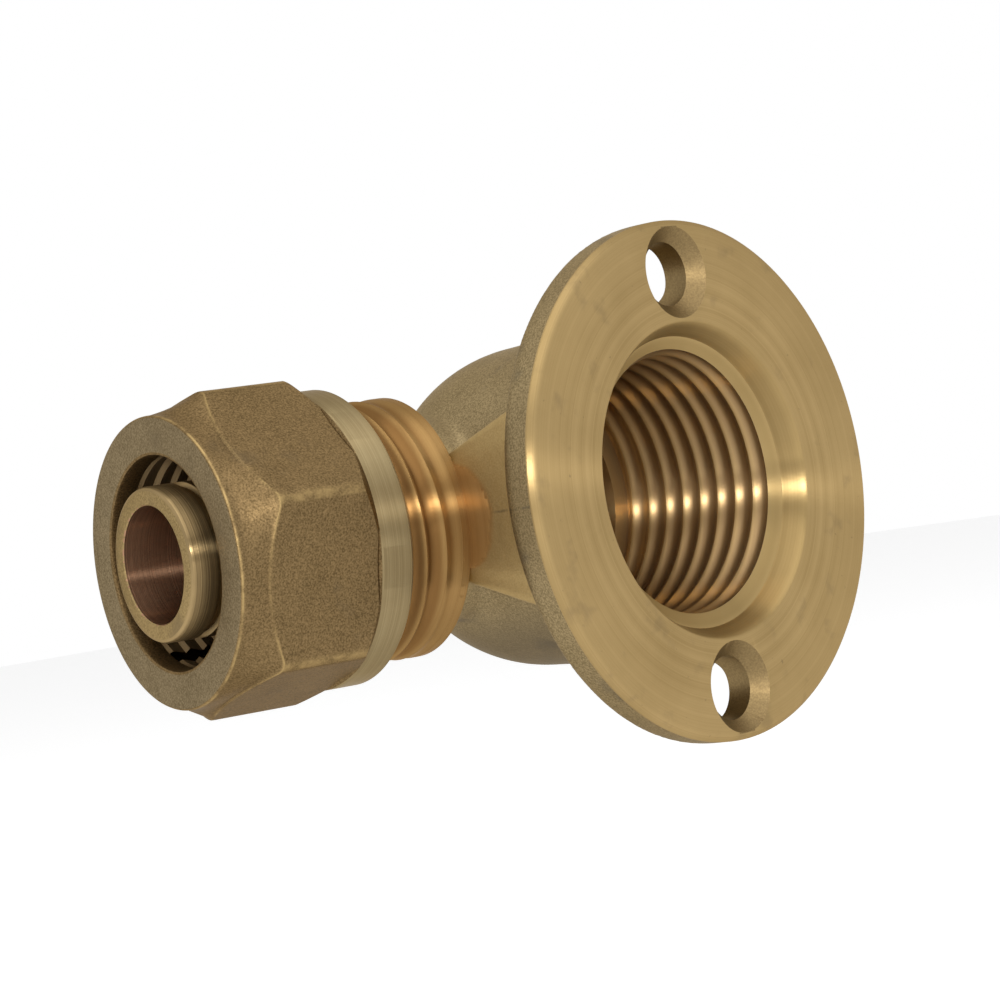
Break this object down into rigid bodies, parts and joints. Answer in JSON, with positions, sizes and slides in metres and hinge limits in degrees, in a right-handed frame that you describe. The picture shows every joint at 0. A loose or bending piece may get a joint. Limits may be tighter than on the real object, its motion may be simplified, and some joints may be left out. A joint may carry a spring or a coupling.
{
  "type": "pex elbow adapter",
  "caption": "Brass elbow with a round screw-on wall flange round a threaded port, and a compression nut on its leaning arm for composite pipe.",
  "frame": {"origin": "centre of the flange's mounting (back) face, midway between the two screw holes", "axes": "-Y out of the threaded port, +Y into the wall, +Z from the lower to the upper screw hole, the pipe arm runs towards -X and leans 13.5 degrees to +Y"},
  "size_m": [0.0572, 0.0365, 0.0406],
  "materials": {
    "body_brass": "forged and blasted, with machined face, port and arm",
    "nut_brass": "forged and blasted, with a turned skirt",
    "ring_brass": "turned",
    "seal_rubber": "matte",
    "washer_plastic": "matte"
  },
  "bodies": {
    "fitting": {"body": "body_brass", "o_ring_outer": "seal_rubber", "o_ring_inner": "seal_rubber", "insulating_washer": "washer_plastic"},
    "ring": {"split_ring": "ring_brass"},
    "nut": {"nut": "nut_brass"}
  },
  "joints": [
    {"name": "ring_travel", "type": "slide", "parent": "fitting", "child": "ring", "axis": [-0.9724, 0.2334, 0], "range_m": [-0.0006, 0.0038]},
    {"name": "nut_turn", "type": "hinge", "parent": "ring", "child": "nut", "pos_m": [0, 0.0137, 0], "axis": [-0.9724, 0.2334, 0], "range_deg": [-90, 720]}
  ],
  "couplings": [
    {"joint": "ring_travel", "follows": "nut_turn", "m_per_rad": 0.00028875}
  ]
}
